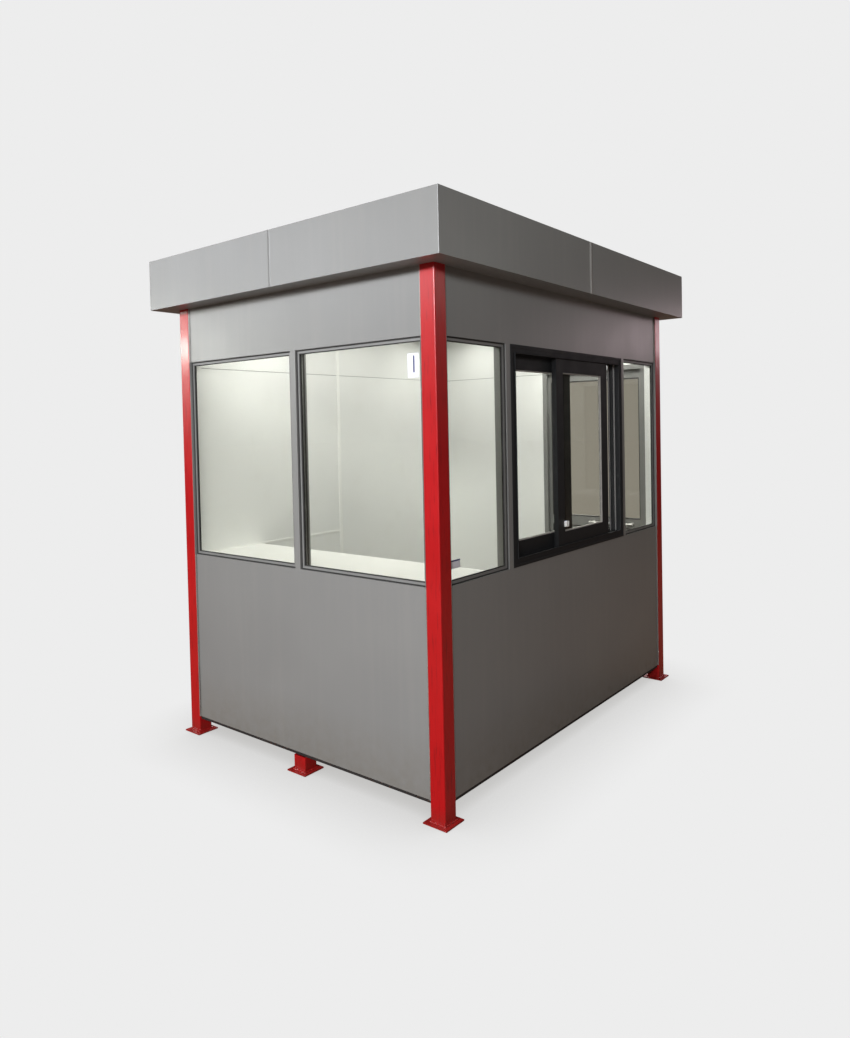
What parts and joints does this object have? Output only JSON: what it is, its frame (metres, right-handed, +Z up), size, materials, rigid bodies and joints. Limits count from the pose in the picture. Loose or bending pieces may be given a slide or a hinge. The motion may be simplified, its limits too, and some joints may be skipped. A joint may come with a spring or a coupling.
{
  "type": "security guard booth",
  "caption": "Small steel-framed guard booth with grey panel walls, glazed sides, a sliding service window, a hinged glazed door, an inner counter and a flat roof behind a deep fascia.",
  "frame": {"origin": "on the ground under the middle of the booth", "axes": "+X along the front wall towards the door wall, +Y towards the back wall, +Z up; the service window faces -Y"},
  "size_m": [2.51, 1.91, 2.5],
  "materials": {
    "red_paint": "gloss red enamel on square steel tube",
    "dark_steel": "black primer on steel beams",
    "floor_sheet": "matt grey vinyl on a board",
    "grey_panel": "satin silver-grey coating on aluminium composite sheet",
    "white_panel": "satin white coating on composite sheet",
    "grey_frame": "satin grey powder coat on aluminium section",
    "charcoal_frame": "satin charcoal powder coat on aluminium section",
    "window_glass": "clear float glass",
    "hinge_steel": "brushed stainless steel",
    "roof_steel": "grey coated steel sheet"
  },
  "bodies": {
    "booth": {"corner_post_front_left": "red_paint", "corner_post_front_right": "red_paint", "corner_post_back_left": "red_paint", "corner_post_back_right": "red_paint", "middle_foot_left": "red_paint", "middle_foot_right": "red_paint", "floor_frame": "dark_steel", "floor_end_beams": "dark_steel", "floor_deck": "floor_sheet", "front_wall_lower": "grey_panel", "front_wall_upper": "grey_panel", "left_wall_lower": "grey_panel", "left_wall_upper": "grey_panel", "back_wall": "grey_panel", "right_wall": "grey_panel", "right_wall_upper": "grey_panel", "front_lining": "white_panel", "left_lining": "white_panel", "back_lining": "white_panel", "right_lining": "white_panel", "left_mullion": "grey_panel", "front_mullions": "grey_panel", "left_window_frame_back": "grey_frame", "left_window_frame_front": "grey_frame", "front_window_frame_left": "grey_frame", "front_window_frame_right": "grey_frame", "left_window_glass": "window_glass", "front_window_glass": "window_glass", "sliding_window_frame": "charcoal_frame", "sliding_sash_outer": "charcoal_frame", "sliding_sash_inner": "charcoal_frame", "sliding_window_glass": "window_glass", "counter": "white_panel", "door_frame": "grey_frame", "door_hinge_pins": "hinge_steel", "ceiling_panel": "white_panel", "roof_tray": "roof_steel", "fascia_front_left": "grey_panel", "fascia_front_right": "grey_panel", "fascia_back_left": "grey_panel", "fascia_back_right": "grey_panel", "soffit": "grey_panel"},
    "door": {"door_leaf": "grey_frame", "door_glass": "window_glass", "door_lower_panel": "grey_panel", "door_hinge_barrels": "hinge_steel", "door_pulls": "hinge_steel"}
  },
  "joints": [
    {"name": "door_hinge", "type": "hinge", "parent": "booth", "child": "door", "pos_m": [1.15, -0.0785, 1], "axis": [0, 0, 1], "range_deg": [0, 110]}
  ]
}
